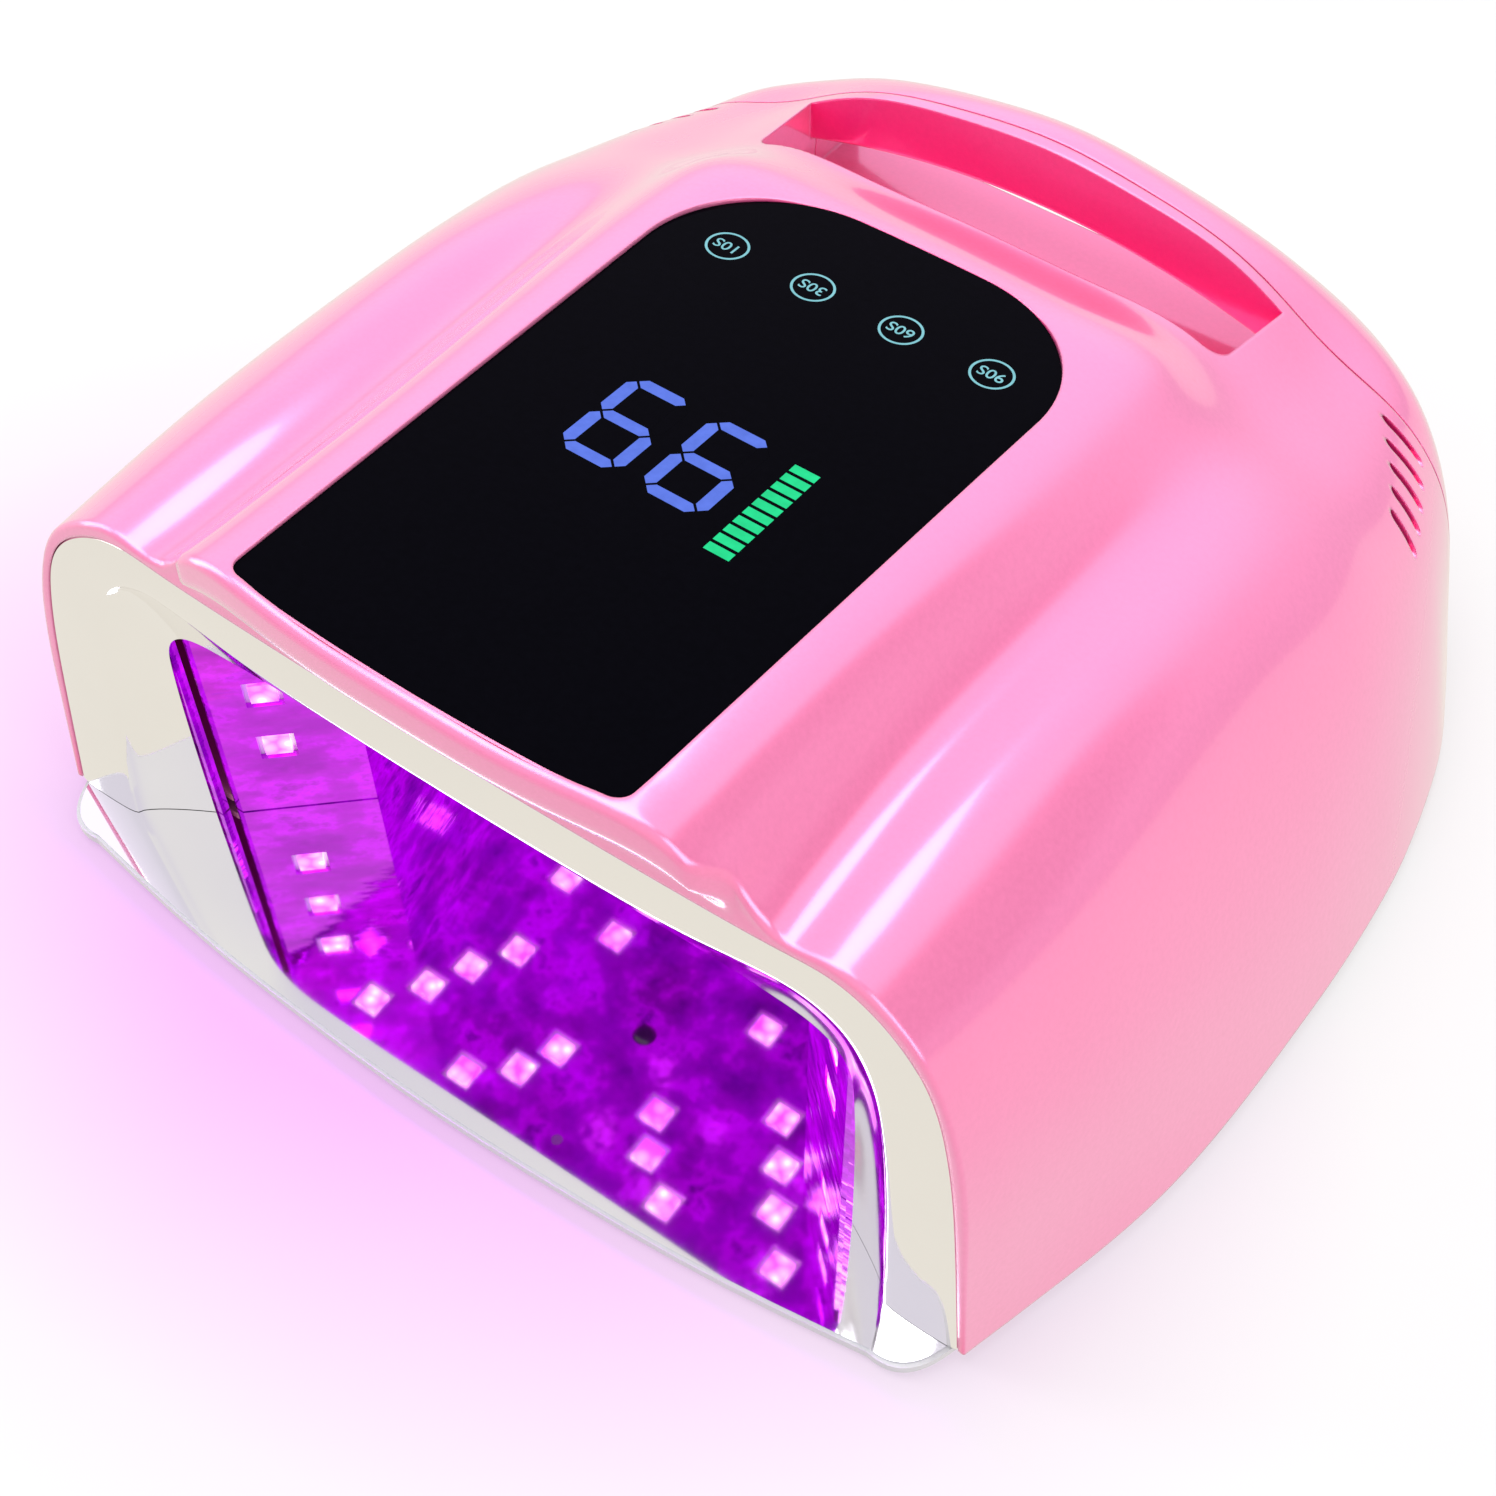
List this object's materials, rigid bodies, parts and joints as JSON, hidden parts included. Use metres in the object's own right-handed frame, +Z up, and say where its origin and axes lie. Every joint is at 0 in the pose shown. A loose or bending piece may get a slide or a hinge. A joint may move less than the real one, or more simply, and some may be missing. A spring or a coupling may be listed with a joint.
{
  "type": "uv led nail lamp",
  "caption": "Cordless nail curing lamp: arched pink shell with a carrying handle, touch display, chrome mouth, mirrored reflector and a lift-off mirrored base.",
  "frame": {"origin": "under the middle of the footprint, on the surface the feet stand on", "axes": "+Z up, -Y towards the mouth the hand enters, +X to the right when facing the mouth from the front"},
  "size_m": [0.2392, 0.22, 0.1105],
  "materials": {
    "pink_gloss_shell": "pearlescent pink lacquer over moulded plastic",
    "pink_gloss_cover": "pearlescent pink lacquer over moulded plastic",
    "chrome_trim": "mirror chrome plating",
    "black_lens": "gloss black touch glass",
    "blue_segments": "lit light guide",
    "dark_segments": "unlit light guide",
    "green_bars": "lit light guide",
    "cyan_rings": "lit light guide",
    "reflector_chrome": "vacuum metallised plastic",
    "mirror_film": "mirror sheet",
    "base_plastic": "chrome plated plastic",
    "led_white": "ultraviolet emitter package",
    "pcb_aluminium": "white solder mask on an aluminium board",
    "pcb_green": "green solder mask",
    "component_black": "moulded component bodies",
    "steel_screw": "plated steel",
    "magnet_nickel": "nickel plated magnet",
    "foot_rubber": "black rubber",
    "inner_plastic": "moulded pink plastic",
    "tray_plastic": "moulded black plastic",
    "cell_wrap": "shrink wrapped cell",
    "spring_steel": "spring wire",
    "brass_hex": "turned brass",
    "cable_red": "flexible cable jacket",
    "cable_black": "flexible cable jacket",
    "ribbon_white": "flat flexible cable",
    "switch_black": "fine textured plastic",
    "sensor_dark": "dark infrared window"
  },
  "bodies": {
    "lamp": {"battery_board": "pcb_green", "battery_cells": "cell_wrap", "battery_lead": "cable_red", "battery_tray": "tray_plastic", "board_components": "component_black", "board_standoffs": "brass_hex", "bottom_cover": "inner_plastic", "bottom_frame": "inner_plastic", "ceiling_led_board": "pcb_aluminium", "ceiling_leds": "led_white", "charge_bars": "green_bars", "control_board": "pcb_green", "cover_screws": "steel_screw", "dc_jack": "switch_black", "digit_segments": "blue_segments", "digit_segments_dark": "dark_segments", "display_lens": "black_lens", "display_module": "component_black", "display_ribbon": "ribbon_white", "frame_magnets": "magnet_nickel", "frame_screws": "steel_screw", "front_trim": "chrome_trim", "hand_sensor": "sensor_dark", "jack_lead": "cable_black", "key_rings": "cyan_rings", "led_board_screws": "steel_screw", "led_lead": "cable_red", "main_board": "pcb_green", "main_shell": "pink_gloss_shell", "rear_cover": "pink_gloss_cover", "rear_feet": "foot_rubber", "reflector": "reflector_chrome", "side_led_boards": "pcb_aluminium", "side_leds": "led_white", "switch_housing": "switch_black", "switch_lead": "cable_black", "switch_pin": "steel_screw", "touch_springs": "spring_steel"},
    "base": {"base_plate": "base_plastic", "mirror_sheet": "mirror_film", "base_magnets": "magnet_nickel", "base_feet": "foot_rubber"},
    "rocker": {"switch_rocker": "switch_black"}
  },
  "joints": [
    {"name": "base_release", "type": "slide", "parent": "lamp", "child": "base", "axis": [0, 0, -1], "range_m": [0, 0.06]},
    {"name": "rocker_tilt", "type": "hinge", "parent": "lamp", "child": "rocker", "pos_m": [-0.024, 0.1059, 0.021], "axis": [1, 0, 0], "range_deg": [-18, 0]}
  ]
}
